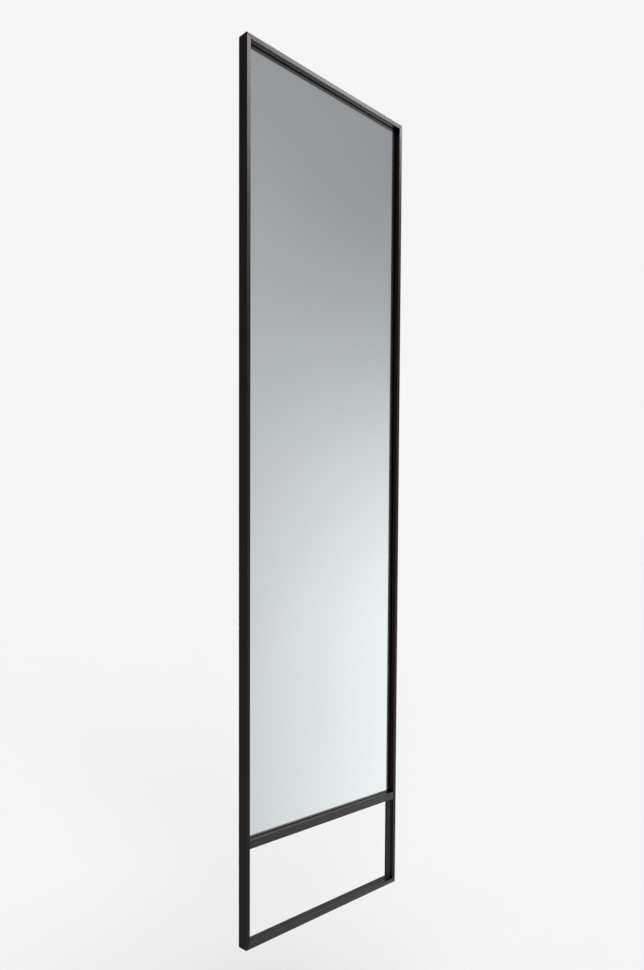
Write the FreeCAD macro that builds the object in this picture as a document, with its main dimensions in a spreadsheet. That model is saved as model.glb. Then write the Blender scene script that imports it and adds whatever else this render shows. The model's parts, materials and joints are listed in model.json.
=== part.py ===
import FreeCAD, Part
import math
import os
import Sketcher
from FreeCAD import Placement, Rotation, Vector

# A pull-out wardrobe mirror: a glazed aluminium frame that swivels on two vertical pivots, carried
# by a post on two three-section ball-bearing slides, which are screwed to the wardrobe's side.
#
# Frame of the part: X runs along the mirror's width, and the mirror is pulled out towards -X.
# The glass faces -Y and the wardrobe's side stands at +Y. Z is up, with 0 at the foot of the frame.
# Depths are measured back from the face of the frame, and slide depths forward from the
# wardrobe's side. Millimetres throughout.

# ---------------------------------------------------------------------------
# Driving dimensions
# ---------------------------------------------------------------------------
DIMENSIONS = [
    # mirror frame
    ("frame_height", 1220.0),
    ("frame_width", 333.0),
    ("frame_depth", 16.0),
    ("frame_face", 7.0),  # width of the face of stiles and rails
    ("front_lip", 6.0),  # from the face back to the glass
    ("channel_wall", 2.0),  # outer wall behind the glazing groove
    ("chamber_wall", 1.5),  # walls of the hollow front chamber
    ("edge_break", 0.4),  # chamfer on the long outer edges
    ("crossbar_level", 140.0),  # underside of the crossbar
    ("crossbar_face", 12.0),
    ("glazing_groove", 5.0),  # depth of the groove in bars and crossbar
    # glazing
    ("glass_thick", 3.0),
    ("tape_thick", 3.0),
    ("panel_thick", 1.5),
    ("gasket_thick", 1.0),  # rubber between the glass edge and the floor of the groove
    ("tape_width", 19.0),
    ("tape_margin", 20.0),  # from the edges of the glass to the tape
    ("key_clear", 0.1),  # around keys, plugs and filler strips
    ("corner_key_arm", 35.0),
    ("crossbar_key_grip", 30.0),  # length of the key inside the crossbar
    # where the mirror hangs
    ("stand_off", 32.0),  # from the back of the frame to the wardrobe's side
    ("lower_level", 360.0),  # height of the lower slide
    ("upper_level", 1000.0),  # height of the upper slide
    ("pivot_inset", 22.0),  # pivot axis from the leading edge of the frame
    # pivots
    ("pin_radius", 3.0),
    ("pin_head_radius", 5.0),
    ("pin_head_height", 1.6),
    ("pin_tail", 1.5),  # below the washer that retains it
    ("washer_radius", 5.4),
    ("washer_thick", 1.0),
    ("running_clear", 0.05),  # radial, pin in bush and screws in their holes
    ("bush_wall", 1.8),
    ("bush_proud", 1.0),  # beyond each end of the barrel, as a thrust face
    ("barrel_radius", 6.6),
    ("barrel_height", 24.0),
    ("ear_clear", 0.1),  # axial, between bush and ear
    ("ear_thick", 3.0),
    ("ear_radius", 7.0),
    ("ear_foot", 1.5),  # straight foot of the ear above the base plate
    ("ear_spread", 4.0),  # foot of the ear, wider than its tip
    ("plate_corner", 3.0),  # clipped corners of base plate and arm
    ("bracket_thick", 2.5),
    ("bracket_reach", 38.0),  # base plate from the pivot axis towards the far stile
    ("bracket_half", 29.0),  # half height of the base plate
    ("stud_reach", 26.0),  # studs from the pivot axis towards the far stile
    ("stud_offset", 19.0),  # studs above and below the level of the slide
    ("stud_radius", 2.0),
    ("stud_proud", 0.8),  # beyond the nut
    ("nut_across", 7.0),  # across flats
    ("nut_height", 3.2),
    ("arm_thick", 3.0),
    ("arm_half", 22.0),  # half height of the arm's plate
    # carrier post
    ("post_width", 30.0),
    ("post_depth", 8.0),
    ("post_wall", 1.5),
    ("post_corner", 1.0),
    ("post_start", 9.0),  # leading edge of the post from the pivot axis
    ("post_overrun", 44.0),  # post above the upper and below the lower slide
    ("cap_thick", 2.0),
    ("cap_plug", 8.0),
    # screws through inner member and post into the arm
    ("screw_radius", 1.95),
    ("screw_pitch", 16.0),
    ("screw_head_radius", 3.75),
    ("screw_head_height", 1.9),
    # telescopic slides
    ("slide_length", 300.0),
    ("slide_inset", 30.0),  # leading end of the slides from the leading edge of the frame
    ("slide_height", 35.0),
    ("slide_thick", 12.7),
    ("sheet", 1.2),  # webs, lips and stop tabs of the rolled members
    ("flange", 2.0),  # flanges of the outer and inner members
    ("middle_flange", 2.6),  # flange of the intermediate member, a race on each side
    ("fold_radius", 2.0),  # outside the folds of the outer member
    ("outer_setback", 0.7),  # open edge of the outer member behind the front of the slide
    ("middle_setback", 1.7),  # the same of the intermediate member
    ("edge_round", 0.8),  # chamfers along the rolled members
    ("ball_radius", 2.0),
    ("race_clear", 0.3),  # between ball and race
    ("race_depth", 0.7),
    ("ball_depth", 7.2),  # centre of the ball rows from the wardrobe's side
    ("cage_sheet", 0.6),
    ("member_gap", 0.3),  # between webs and cages
    ("cage_length", 130.0),
    ("cage_start", 84.0),  # from the leading end of the slide
    ("cage_pitch", 30.0),
    ("cage_rim", 1.0),  # sheet in front of the balls
    ("tab_half", 6.0),  # half height of the end tab that closes the outer member
    ("buffer_thick", 4.0),
    ("fixing_radius", 2.3),  # holes for the screws into the wardrobe's side
    ("slot_half", 5.0),  # half length of the levelling slot, between its round ends
    ("window_half_long", 7.5),  # windows in the intermediate member, over the fixing holes
    ("window_half_high", 4.5),
    ("window_corner", 2.0),
    ("stop_start", 2.0),  # tabs that stop the cages, from the leading end of their member
    ("stop_long", 4.0),
    ("stop_high", 1.0),
    ("fixing_start", 37.0),  # first hole from the leading end of the slide
    ("fixing_pitch", 224.0),
]
BALLS_PER_ROW = 4
TAPE_STRIPS = 4
OVERRUN = 1.0  # of cutting outlines past the piece that they cut


class Size:
    """A length held both as a number and as the spreadsheet expression that gives it."""

    def __init__(self, value, text):
        self.value = value
        self.text = text

    @staticmethod
    def of(length):
        return length if isinstance(length, Size) else Size(float(length), str(float(length)))

    def __add__(self, other):
        other = Size.of(other)
        return Size(self.value + other.value, f"({self.text} + {other.text})")

    def __sub__(self, other):
        other = Size.of(other)
        return Size(self.value - other.value, f"({self.text} - {other.text})")

    def __mul__(self, factor):
        return Size(self.value * factor, f"({self.text} * {float(factor)})")

    def __truediv__(self, divisor):
        return Size(self.value / divisor, f"({self.text} / {float(divisor)})")

    def __neg__(self):
        return Size(-self.value, f"(0 - {self.text})")

    __radd__ = __add__
    __rmul__ = __mul__

    def __rsub__(self, other):
        return Size.of(other) - self


def half_chord(radius, height):
    """Half the width of the groove that a circle cuts into a face at that height from its centre."""
    value = math.sqrt(radius.value**2 - height.value**2)
    return Size(value, f"sqrt({radius.text}^2 - {height.text}^2)")


document = FreeCAD.newDocument("pull_out_mirror")
sheet = document.addObject("Spreadsheet::Sheet", "dims")


class Dimensions:
    """The sheet's cells by name."""


D = Dimensions()
for row, (name, millimetres) in enumerate(DIMENSIONS, start=1):
    sheet.set(f"A{row}", name)
    sheet.set(f"B{row}", str(millimetres))
    sheet.setAlias(f"B{row}", name)
    setattr(D, name, Size(millimetres, f"dims.{name}"))
document.recompute()

# ---------------------------------------------------------------------------
# Derived sizes and places
# ---------------------------------------------------------------------------
# depths from the face of the frame
GLASS_BACK = D.front_lip + D.glass_thick
PANEL_FRONT = GLASS_BACK + D.tape_thick
GROOVE_BACK = PANEL_FRONT + D.panel_thick
WARDROBE_SIDE = D.frame_depth + D.stand_off
POST_BACK = WARDROBE_SIDE - D.slide_thick
POST_FRONT = POST_BACK - D.post_depth

# the part's origin is at the foot of the middle of its whole width and depth
LEFT = -D.frame_width / 2
RIGHT = D.frame_width / 2
FACE = -WARDROBE_SIDE / 2
BACK = WARDROBE_SIDE / 2

PIVOT_X = LEFT + D.pivot_inset
PIVOT_Y = FACE + POST_FRONT
POST_X = PIVOT_X + D.post_start
SLIDE_X = LEFT + D.slide_inset
LEVELS = {"lower": D.lower_level, "upper": D.upper_level}

# glass edges: the gasket lies between them and the floors of the grooves
GLASS_INSET = D.frame_face - D.glazing_groove + D.gasket_thick
GROOVE_FLOOR = D.crossbar_face - D.glazing_groove
GLASS_FOOT = D.crossbar_level + GROOVE_FLOOR + D.gasket_thick

# chamber of the bars, in the plane of the frame and in depth
CHAMBER_WIDE = D.frame_face - 2 * D.chamber_wall
CHAMBER_DEEP = D.front_lip - 2 * D.chamber_wall

# pivot stack, from the middle of the barrel
BUSH_TOP = D.barrel_height / 2 + D.bush_proud
EAR_INNER = BUSH_TOP + D.ear_clear
EAR_OUTER = EAR_INNER + D.ear_thick
BUSH_RADIUS = D.pin_radius + D.running_clear + D.bush_wall

# fixings: studs above and below the level of their slide, screws from the edge of the post
STUD_HEIGHTS = (-D.stud_offset, D.stud_offset)
SCREW_STEPS = [(D.post_width - D.screw_pitch) / 2, (D.post_width + D.screw_pitch) / 2]
SCREW_HOLE = D.screw_radius + D.running_clear
SCREW_LENGTH = D.sheet + D.post_depth + D.arm_thick

# telescopic slide: half heights, from the middle of the section
RACE_RADIUS = D.ball_radius + D.race_clear
OUTER_TOP = D.slide_height / 2
OUTER_INNER = OUTER_TOP - D.flange
OUTER_BALLS = OUTER_INNER + D.race_depth - RACE_RADIUS
MIDDLE_TOP = OUTER_BALLS - RACE_RADIUS + D.race_depth
MIDDLE_INNER = MIDDLE_TOP - D.middle_flange
INNER_BALLS = MIDDLE_INNER + D.race_depth - RACE_RADIUS
INNER_TOP = INNER_BALLS - RACE_RADIUS + D.race_depth
INNER_INNER = INNER_TOP - D.flange
RACE_HALF = half_chord(RACE_RADIUS, RACE_RADIUS - D.race_depth)

# telescopic slide: depths forward from the wardrobe's side
OUTER_CAGE_WEB = D.sheet + D.member_gap
MIDDLE_WEB = OUTER_CAGE_WEB + D.cage_sheet + D.member_gap
INNER_CAGE_WEB = MIDDLE_WEB + D.sheet + D.member_gap
INNER_EDGE = INNER_CAGE_WEB + D.cage_sheet + D.member_gap
OUTER_EDGE = D.slide_thick - D.outer_setback
MIDDLE_EDGE = D.slide_thick - D.middle_setback
CAGE_EDGE = D.ball_depth + D.ball_radius + D.cage_rim
MEMBER_LENGTH = D.slide_length - D.sheet - D.buffer_thick - D.race_clear


# ---------------------------------------------------------------------------
# Modelling helpers
# ---------------------------------------------------------------------------
def bind(item, **lengths):
    """Give an object's properties their numbers and tie them to the sheet."""
    for name, length in lengths.items():
        length = Size.of(length)
        setattr(item, name, length.value)
        item.setExpression(name, length.text)


def place(item, x=0, y=0, z=0, turn=None):
    """Put an object at a bound point, turned by a rotation."""
    point = [Size.of(x), Size.of(y), Size.of(z)]
    item.Placement = Placement(Vector(*[p.value for p in point]), turn or Rotation())
    for axis, length in zip("xyz", point):
        item.setExpression(f".Placement.Base.{axis}", length.text)
    return item


def body(label):
    new = document.addObject("PartDesign::Body", label)
    new.Label = label
    return new


def sketch(owner, role, offset=0):
    """A sketch on one of the body's own planes, moved along the plane's normal."""
    new = owner.newObject("Sketcher::SketchObject", f"{owner.Name}_sketch")
    plane = next(f for f in owner.Origin.OriginFeatures if f.Role == role)
    new.AttachmentSupport = [(plane, "")]
    new.MapMode = "FlatFace"
    offset = Size.of(offset)
    new.AttachmentOffset = Placement(Vector(0, 0, offset.value), Rotation())
    new.setExpression(".AttachmentOffset.Base.z", offset.text)
    return new


def dimension(target, kind, geometry, point, length):
    """A bound coordinate of a point, from the sketch's origin."""
    length = Size.of(length)
    index = target.addConstraint(Sketcher.Constraint(kind, -1, 1, geometry, point, length.value))
    target.setExpression(f"Constraints[{index}]", length.text)


def radius(target, geometry, length):
    index = target.addConstraint(Sketcher.Constraint("Radius", geometry, length.value))
    target.setExpression(f"Constraints[{index}]", length.text)


def arc_between(start, end, bend):
    """The minor arc from start to end, turning left for a positive radius and right for a negative."""
    if bend < 0:
        start, end = end, start
    chord = end - start
    left = Vector(-chord.y, chord.x, 0).normalize()
    rise = math.sqrt(max(bend**2 - chord.Length**2 / 4, 0.0))
    centre = (start + end) / 2 + left * rise
    first = math.atan2(start.y - centre.y, start.x - centre.x)
    last = math.atan2(end.y - centre.y, end.x - centre.x)
    if last < first:
        last += 2 * math.pi
    return Part.ArcOfCircle(Part.Circle(centre, Vector(0, 0, 1), abs(bend)), first, last)


def outline(target, corners):
    """A closed loop through (x, y) or (x, y, r): a third number makes the next edge an arc."""
    corners = [tuple(Size.of(value) for value in corner) for corner in corners]
    points = [Vector(corner[0].value, corner[1].value, 0) for corner in corners]
    starts, ends, edges = [], [], []
    for i, corner in enumerate(corners):
        start, end = points[i], points[(i + 1) % len(points)]
        if len(corner) == 2:
            edges.append(target.addGeometry(Part.LineSegment(start, end), False))
            starts.append(1)
            ends.append(2)
            continue
        edges.append(target.addGeometry(arc_between(start, end, corner[2].value), False))
        turns_left = corner[2].value > 0
        starts.append(1 if turns_left else 2)
        ends.append(2 if turns_left else 1)
        radius(target, edges[-1], corner[2] if turns_left else -corner[2])
    for i, corner in enumerate(corners):
        dimension(target, "DistanceX", edges[i], starts[i], corner[0])
        dimension(target, "DistanceY", edges[i], starts[i], corner[1])
        target.addConstraint(Sketcher.Constraint("Coincident", edges[i - 1], ends[i - 1],
                                                 edges[i], starts[i]))


def rectangle(target, x0, y0, x1, y1):
    outline(target, [(x0, y0), (x1, y0), (x1, y1), (x0, y1)])


def clipped(target, x0, y0, x1, y1, corner):
    """A rectangle with its corners cut off at 45 degrees."""
    outline(target, [(x0 + corner, y0), (x1 - corner, y0), (x1, y0 + corner), (x1, y1 - corner),
                     (x1 - corner, y1), (x0 + corner, y1), (x0, y1 - corner), (x0, y0 + corner)])


def circle(target, x, y, r):
    x, y, r = Size.of(x), Size.of(y), Size.of(r)
    shape = Part.Circle(Vector(x.value, y.value, 0), Vector(0, 0, 1), r.value)
    index = target.addGeometry(shape, False)
    radius(target, index, r)
    dimension(target, "DistanceX", index, 3, x)
    dimension(target, "DistanceY", index, 3, y)


def mirrored(half):
    """The upper half of an outline, followed back by its mirror image below y = 0."""
    bends = [corner[2:] for corner in half]
    lower = []
    for i in reversed(range(len(half))):
        x, y = half[i][:2]
        lower.append((x, -Size.of(y)) + (bends[i - 1] if i > 0 else ()))
    return list(half) + lower


def pad(owner, profile, length, backwards=False, symmetric=False):
    new = owner.newObject("PartDesign::Pad", f"{owner.Name}_pad")
    new.Profile = profile
    bind(new, Length=length)
    new.Reversed = backwards
    new.SideType = "Symmetric" if symmetric else "One side"
    return new


def cut(owner, profile, length=None, backwards=False):
    """A pocket of that length, or through everything both ways. It must remove material."""
    document.recompute()
    before = owner.Shape.Volume
    new = owner.newObject("PartDesign::Pocket", f"{owner.Name}_pocket")
    new.Profile = profile
    if length is None:
        new.Type = "ThroughAll"
        new.SideType = "Symmetric"
    else:
        bind(new, Length=length)
        new.Reversed = backwards
    document.recompute()
    if owner.Shape.Volume >= before - 1e-6:
        raise RuntimeError(f"{profile.Name} cuts nothing")
    return new


def revolve(owner, profile):
    """A full turn about the vertical axis of the profile's sketch."""
    new = owner.newObject("PartDesign::Revolution", f"{owner.Name}_revolution")
    new.Profile = profile
    new.ReferenceAxis = (profile, ["V_Axis"])
    new.Angle = 360.0
    return new


def block(label, length, depth, height):
    new = document.addObject("Part::Box", label)
    new.Label = label
    bind(new, Length=length, Width=depth, Height=height)
    return new


def group(label, members):
    """Several separate solids that share one node."""
    new = document.addObject("Part::Compound", label)
    new.Label = label
    new.Links = members
    return new


ABOUT_X = Vector(1, 0, 0)
ABOUT_Y = Vector(0, 1, 0)
UPSIDE_DOWN = Rotation(ABOUT_X, 180)
TURNED_BACK = Rotation(ABOUT_X, -90)  # from +Z to +Y
TURNED_FORWARD = Rotation(ABOUT_X, 90)  # from +Z to -Y


# ---------------------------------------------------------------------------
# Mirror frame
# ---------------------------------------------------------------------------
def frame_bar(label, length, key_level=None):
    """The frame extrusion with both ends mitred: outer side on x = 0, face on y = 0, along Z."""
    bar = body(label)
    section = sketch(bar, "XY_Plane")
    face, depth, ease = D.frame_face, D.frame_depth, D.edge_break
    outline(section, [
        (ease, 0), (face - ease, 0), (face, ease), (face, D.front_lip),
        (D.channel_wall, D.front_lip), (D.channel_wall, GROOVE_BACK),
        (face, GROOVE_BACK), (face, depth), (ease, depth), (0, depth - ease), (0, ease),
    ])
    rectangle(section, D.chamber_wall, D.chamber_wall,
              D.chamber_wall + CHAMBER_WIDE, D.chamber_wall + CHAMBER_DEEP)
    pad(bar, section, length)
    mitres = sketch(bar, "XZ_Plane")
    near, far = -Size.of(OVERRUN), face + OVERRUN
    outline(mitres, [(near, near), (far, near), (far, far)])
    outline(mitres, [(near, length - near), (far, length - far), (far, length - near)])
    cut(bar, mitres)
    if key_level is not None:
        slot = sketch(bar, "YZ_Plane", face)
        half = D.crossbar_face / 2 - D.chamber_wall
        rectangle(slot, D.chamber_wall, key_level - half,
                  D.chamber_wall + CHAMBER_DEEP, key_level + half)
        cut(bar, slot, D.chamber_wall)
    return bar


key_level = D.crossbar_level + D.crossbar_face / 2
left_stile = place(frame_bar("left_stile", D.frame_height, key_level), LEFT, FACE, 0)
right_stile = place(frame_bar("right_stile", D.frame_height, D.frame_height - key_level),
                    RIGHT, FACE, D.frame_height, Rotation(ABOUT_Y, 180))
top_rail = place(frame_bar("top_rail", D.frame_width),
                 LEFT, FACE, D.frame_height, Rotation(ABOUT_Y, 90))
bottom_rail = place(frame_bar("bottom_rail", D.frame_width), RIGHT, FACE, 0, Rotation(ABOUT_Y, -90))


def make_crossbar():
    """The bar under the glass, with the same groove in its upper side and two hollow chambers."""
    bar = body("crossbar")
    section = sketch(bar, "YZ_Plane")
    depth, height, ease, wall = D.frame_depth, D.crossbar_face, D.edge_break, D.chamber_wall
    outline(section, [
        (ease, 0), (depth - ease, 0), (depth, ease), (depth, height), (GROOVE_BACK, height),
        (GROOVE_BACK, GROOVE_FLOOR), (D.front_lip, GROOVE_FLOOR), (D.front_lip, height),
        (ease, height), (0, height - ease), (0, ease),
    ])
    rectangle(section, wall, wall, wall + CHAMBER_DEEP, height - wall)
    rectangle(section, D.front_lip, wall, GROOVE_BACK, GROOVE_FLOOR - wall)
    pad(bar, section, D.frame_width - 2 * D.frame_face)
    return place(bar, LEFT + D.frame_face, FACE, D.crossbar_level)


def make_corner_keys():
    """An angle in the chambers of each pair of mitred bars."""
    inset = D.chamber_wall + D.key_clear
    width = CHAMBER_WIDE - 2 * D.key_clear
    corners = [(LEFT + inset, inset, 0), (RIGHT - inset, inset, -90),
               (RIGHT - inset, D.frame_height - inset, 180), (LEFT + inset, D.frame_height - inset, 90)]
    keys = []
    for number, (x, z, angle) in enumerate(corners, start=1):
        key = body(f"corner_key_{number}")
        angle_shape = sketch(key, "XZ_Plane")
        arm = D.corner_key_arm
        outline(angle_shape, [(0, 0), (arm, 0), (arm, width), (width, width), (width, arm), (0, arm)])
        pad(key, angle_shape, CHAMBER_DEEP - 2 * D.key_clear, backwards=True)
        keys.append(place(key, x, FACE + inset, z, Rotation(ABOUT_Y, angle)))
    return group("corner_keys", keys)


def make_crossbar_keys():
    """A flat bar in each end of the crossbar that passes through the slot of the stile."""
    inset = D.chamber_wall + D.key_clear
    tongue = CHAMBER_WIDE + D.chamber_wall - D.key_clear
    length = tongue + D.crossbar_key_grip
    keys = []
    for side, x in (("left", LEFT + inset), ("right", RIGHT - inset - length)):
        key = block(f"crossbar_key_{side}", length, CHAMBER_DEEP - 2 * D.key_clear,
                    D.crossbar_face - 2 * inset)
        keys.append(place(key, x, FACE + inset, D.crossbar_level + inset))
    return group("crossbar_keys", keys)


def make_groove_fillers():
    """Cover strips in the empty grooves round the open foot of the frame."""
    inset = D.frame_face - D.glazing_groove
    wide = D.glazing_groove - D.key_clear
    deep = GROOVE_BACK - D.front_lip
    upright = D.crossbar_level - D.frame_face
    y = FACE + D.front_lip
    strips = [
        place(block("filler_left", wide, deep, upright), LEFT + inset, y, D.frame_face),
        place(block("filler_right", wide, deep, upright), RIGHT - inset - wide, y, D.frame_face),
        place(block("filler_foot", D.frame_width - 2 * D.frame_face, deep, wide),
              LEFT + D.frame_face, y, inset),
    ]
    return group("groove_fillers", strips)


# ---------------------------------------------------------------------------
# Glazing
# ---------------------------------------------------------------------------
GLASS_WIDE = D.frame_width - 2 * GLASS_INSET
GLASS_TALL = D.frame_height - GLASS_INSET - GLASS_FOOT


def make_glass():
    glass = block("mirror_glass", GLASS_WIDE, D.glass_thick, GLASS_TALL)
    return place(glass, LEFT + GLASS_INSET, FACE + D.front_lip, GLASS_FOOT)


def make_foam_tape():
    """Upright strips, evenly spaced, that bond the glass to the steel panel behind it."""
    first = LEFT + GLASS_INSET + D.tape_margin
    pitch = (GLASS_WIDE - 2 * D.tape_margin - D.tape_width) / (TAPE_STRIPS - 1)
    strips = []
    for number in range(TAPE_STRIPS):
        strip = block(f"tape_{number + 1}", D.tape_width, D.tape_thick,
                      GLASS_TALL - 2 * D.tape_margin)
        strips.append(place(strip, first + pitch * number, FACE + GLASS_BACK,
                            GLASS_FOOT + D.tape_margin))
    return group("foam_tape", strips)


def make_backing_panel():
    """A steel sheet behind the glass, which carries the weld studs of the pivot brackets."""
    panel = block("backing_panel", GLASS_WIDE, D.panel_thick, GLASS_TALL)
    return place(panel, LEFT + GLASS_INSET, FACE + PANEL_FRONT, GLASS_FOOT)


def make_edge_gasket():
    """A rubber band round the edge of glass and panel, filling the floor of the groove."""
    gasket = body("edge_gasket")
    plan = sketch(gasket, "XZ_Plane")
    thick = D.gasket_thick
    rectangle(plan, -thick, -thick, GLASS_WIDE + thick, GLASS_TALL + thick)
    rectangle(plan, 0, 0, GLASS_WIDE, GLASS_TALL)
    pad(gasket, plan, GROOVE_BACK - D.front_lip, backwards=True)
    return place(gasket, LEFT + GLASS_INSET, FACE + D.front_lip, GLASS_FOOT)


# ---------------------------------------------------------------------------
# Pivots: modelled about the pivot axis, with z = 0 at the level of their slide
# ---------------------------------------------------------------------------
PANEL_BACK_Y = GROOVE_BACK - POST_FRONT  # back of the panel, seen from the pivot axis
BRACKET_BACK_Y = PANEL_BACK_Y + D.bracket_thick


def make_pivot_bracket(side, level):
    """A base plate on the back of the mirror with two ears that hold the pivot pin."""
    bracket = body(f"{side}_pivot_bracket")
    plate = sketch(bracket, "XZ_Plane", -PANEL_BACK_Y)
    lead = GLASS_INSET + D.glazing_groove - D.pivot_inset
    clipped(plate, lead, -D.bracket_half, D.bracket_reach, D.bracket_half, D.plate_corner)
    for z in STUD_HEIGHTS:
        circle(plate, D.stud_reach, z, D.stud_radius)
    pad(bracket, plate, D.bracket_thick, backwards=True)
    r, root = D.ear_radius, D.ear_radius + D.ear_spread
    seat, foot = BRACKET_BACK_Y - D.bracket_thick / 2, BRACKET_BACK_Y + D.ear_foot
    for lower_face in (EAR_INNER, -EAR_OUTER):
        ear = sketch(bracket, "XY_Plane", lower_face)
        outline(ear, [(-r, seat), (root, seat), (root, foot), (r, 0, r), (0, r, r), (-r, 0)])
        circle(ear, 0, 0, D.pin_radius + D.running_clear)
        pad(bracket, ear, D.ear_thick)
    return place(bracket, PIVOT_X, PIVOT_Y, level)


def make_pivot_pins():
    """Headed pins, dropped through ears and bush from above."""
    pins = []
    for side, level in LEVELS.items():
        pin = body(f"{side}_pivot_pin")
        profile = sketch(pin, "XZ_Plane")
        r, head, top = D.pin_radius, D.pin_head_radius, EAR_OUTER + D.pin_head_height
        foot = -EAR_OUTER - D.washer_thick - D.pin_tail
        outline(profile, [(0, foot), (r, foot), (r, EAR_OUTER), (head, EAR_OUTER), (head, top), (0, top)])
        revolve(pin, profile)
        pins.append(place(pin, PIVOT_X, PIVOT_Y, level))
    return group("pivot_pins", pins)


def turned_ring(label, inner, outer, foot, top):
    """A ring about the vertical axis."""
    ring = body(label)
    profile = sketch(ring, "XZ_Plane")
    rectangle(profile, inner, foot, outer, top)
    revolve(ring, profile)
    return ring


def make_pin_washers():
    """Push-on washers that grip the tails of the pins, under the lower ears."""
    washers = []
    for side, level in LEVELS.items():
        washer = turned_ring(f"{side}_pin_washer", D.pin_radius, D.washer_radius,
                             -EAR_OUTER - D.washer_thick, -EAR_OUTER)
        washers.append(place(washer, PIVOT_X, PIVOT_Y, level))
    return group("pin_washers", washers)


def make_pivot_bushes():
    """Nylon sleeves pressed into the barrels, a little longer, so that the ears run on their ends."""
    bushes = []
    for side, level in LEVELS.items():
        bush = turned_ring(f"{side}_pivot_bush", D.pin_radius + D.running_clear, BUSH_RADIUS,
                           -BUSH_TOP, BUSH_TOP)
        bushes.append(place(bush, PIVOT_X, PIVOT_Y, level))
    return group("pivot_bushes", bushes)


def make_pivot_arm(side, level):
    """A plate against the post, with the barrel in which the pivot pin turns."""
    arm = body(f"{side}_pivot_arm")
    barrel = sketch(arm, "XY_Plane")
    circle(barrel, 0, 0, D.barrel_radius)
    pad(arm, barrel, D.barrel_height, symmetric=True)
    plate = sketch(arm, "XZ_Plane")
    neck, start, end = D.barrel_height / 2, D.post_start, D.post_start + D.post_width
    half, corner = D.arm_half, D.plate_corner
    outline(plate, [(0, -neck), (start, -neck), (start + corner, -half), (end - corner, -half),
                    (end, -half + corner), (end, half - corner), (end - corner, half),
                    (start + corner, half), (start, neck), (0, neck)])
    for x in SCREW_STEPS:
        circle(plate, start + x, 0, D.screw_radius)
    pad(arm, plate, D.arm_thick)
    bore = sketch(arm, "XY_Plane")
    circle(bore, 0, 0, BUSH_RADIUS)
    cut(arm, bore)
    return place(arm, PIVOT_X, PIVOT_Y, level)


def make_weld_studs():
    """Studs welded to the back of the panel."""
    length = D.bracket_thick + D.nut_height + D.stud_proud
    studs = []
    for side, level in LEVELS.items():
        for number, z in enumerate(STUD_HEIGHTS, start=1):
            stud = document.addObject("Part::Cylinder", f"{side}_stud_{number}")
            bind(stud, Radius=D.stud_radius, Height=length)
            studs.append(place(stud, PIVOT_X + D.stud_reach, FACE + GROOVE_BACK, level + z, TURNED_BACK))
    return group("weld_studs", studs)


def make_bracket_nuts():
    """Hexagon nuts on the studs, against the back of the bracket."""
    nuts = []
    flat, tip = D.nut_across / 2, D.nut_across / math.sqrt(3)
    for side, level in LEVELS.items():
        for number, z in enumerate(STUD_HEIGHTS, start=1):
            nut = body(f"{side}_nut_{number}")
            plan = sketch(nut, "XZ_Plane")
            outline(plan, [(tip, 0), (tip / 2, flat), (-tip / 2, flat), (-tip, 0),
                           (-tip / 2, -flat), (tip / 2, -flat)])
            circle(plan, 0, 0, D.stud_radius)
            pad(nut, plan, D.nut_height, backwards=True)
            nuts.append(place(nut, PIVOT_X + D.stud_reach, PIVOT_Y + BRACKET_BACK_Y, level + z))
    return group("bracket_nuts", nuts)


# ---------------------------------------------------------------------------
# Carrier post
# ---------------------------------------------------------------------------
POST_FOOT = D.lower_level - D.post_overrun
POST_TALL = D.upper_level - D.lower_level + 2 * D.post_overrun


def make_carrier_post():
    """A flat tube that joins the inner members of both slides."""
    post = body("carrier_post")
    section = sketch(post, "XY_Plane")
    wide, deep, wall = D.post_width, D.post_depth, D.post_wall
    clipped(section, 0, 0, wide, deep, D.post_corner)
    rectangle(section, wall, wall, wide - wall, deep - wall)
    pad(post, section, POST_TALL)
    holes = sketch(post, "XZ_Plane")
    for level in LEVELS.values():
        for x in SCREW_STEPS:
            circle(holes, x, level - POST_FOOT, SCREW_HOLE)
    cut(post, holes)
    return place(post, POST_X, FACE + POST_FRONT, POST_FOOT)


def make_post_end_caps():
    """Plastic caps plugged into both ends of the post."""
    caps = []
    inset = D.post_wall + D.key_clear
    for end, z, turn in (("foot", POST_FOOT, UPSIDE_DOWN), ("top", POST_FOOT + POST_TALL, None)):
        cap = body(f"post_cap_{end}")
        plan, plug = sketch(cap, "XY_Plane"), sketch(cap, "XY_Plane")
        half_wide, half_deep = D.post_width / 2, D.post_depth / 2
        clipped(plan, -half_wide, -half_deep, half_wide, half_deep, D.post_corner)
        pad(cap, plan, D.cap_thick)
        rectangle(plug, inset - half_wide, inset - half_deep, half_wide - inset, half_deep - inset)
        pad(cap, plug, D.cap_plug, backwards=True)
        caps.append(place(cap, POST_X + half_wide, FACE + POST_FRONT + half_deep, z, turn))
    return group("post_end_caps", caps)


def make_carrier_screws():
    """Pan-head screws from inside the inner members through the post into the arms."""
    screws = []
    r, head, height = D.screw_radius, D.screw_head_radius, D.screw_head_height
    for side, level in LEVELS.items():
        for number, x in enumerate(SCREW_STEPS, start=1):
            screw = body(f"{side}_carrier_screw_{number}")
            profile = sketch(screw, "XZ_Plane")
            outline(profile, [(0, -height), (head, -height), (head, 0), (r, 0),
                              (r, SCREW_LENGTH), (0, SCREW_LENGTH)])
            revolve(screw, profile)
            screws.append(place(screw, POST_X + x, BACK - D.slide_thick + D.sheet, level,
                                TURNED_FORWARD))
    return group("carrier_screws", screws)


# ---------------------------------------------------------------------------
# Telescopic slides: modelled along +X from the leading end, with y = 0 on the wardrobe's side
# ---------------------------------------------------------------------------
def slotted(target, x, half, r):
    """A slot with round ends along the middle line of a web, centred on x."""
    start, end = x - half, x + half
    outline(target, [(start, -r), (end, -r, r), (end + r, 0, r), (end, r), (start, r, r),
                     (start - r, 0, r)])


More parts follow.
